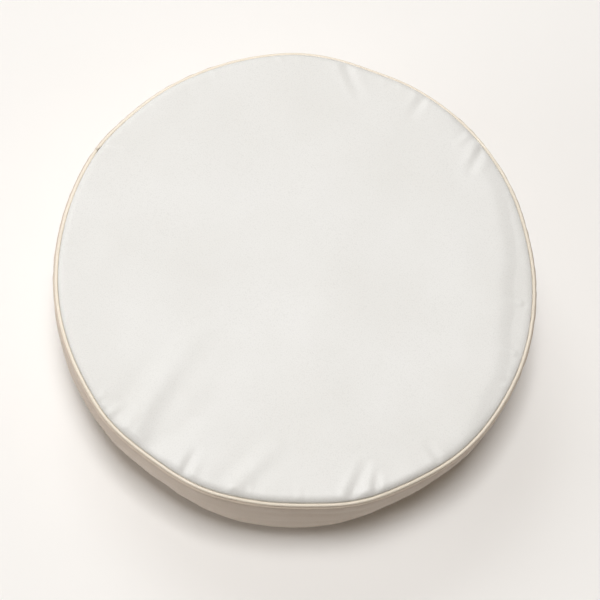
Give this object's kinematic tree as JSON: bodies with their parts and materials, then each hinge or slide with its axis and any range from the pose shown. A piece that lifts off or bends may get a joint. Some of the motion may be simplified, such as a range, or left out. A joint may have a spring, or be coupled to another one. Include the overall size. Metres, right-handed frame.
{
  "type": "spare tyre cover",
  "caption": "Round slip-on cover for a spare wheel: flat front panel, piped rim, deep side band and an elasticated rear mouth.",
  "frame": {"origin": "on the cover's axis, in the plane that its rear rests on", "axes": "+Z along the cover's axis, out of the front panel; +X and +Y across the cover, with the closing seam of the side band at about 159 degrees from +X towards +Y"},
  "size_m": [0.7499, 0.75, 0.203],
  "materials": {
    "white_vinyl": "matt coated cloth with a fine grain, slightly warm white",
    "cream_vinyl": "satin cream coated cloth",
    "filler_cord": "twisted cotton",
    "white_thread": "twisted polyester thread",
    "cream_thread": "twisted polyester thread",
    "braided_elastic": "white braid over rubber strands",
    "woven_label": "blank satin ribbon"
  },
  "bodies": {
    "root": {"front_panel": "white_vinyl", "side_band": "white_vinyl", "piping_sleeve": "cream_vinyl", "piping_cord": "filler_cord", "piping_needle_thread": "cream_thread", "piping_bobbin_thread": "cream_thread", "front_seam_needle_thread": "white_thread", "front_seam_bobbin_thread": "white_thread", "topstitch_needle_thread": "white_thread", "topstitch_bobbin_thread": "white_thread", "closing_needle_thread": "white_thread", "closing_bobbin_thread": "white_thread", "hem_needle_thread": "white_thread", "hem_bobbin_thread": "white_thread", "hem_elastic": "braided_elastic", "elastic_tack_thread": "white_thread", "care_label": "woven_label"}
  },
  "joints": []
}
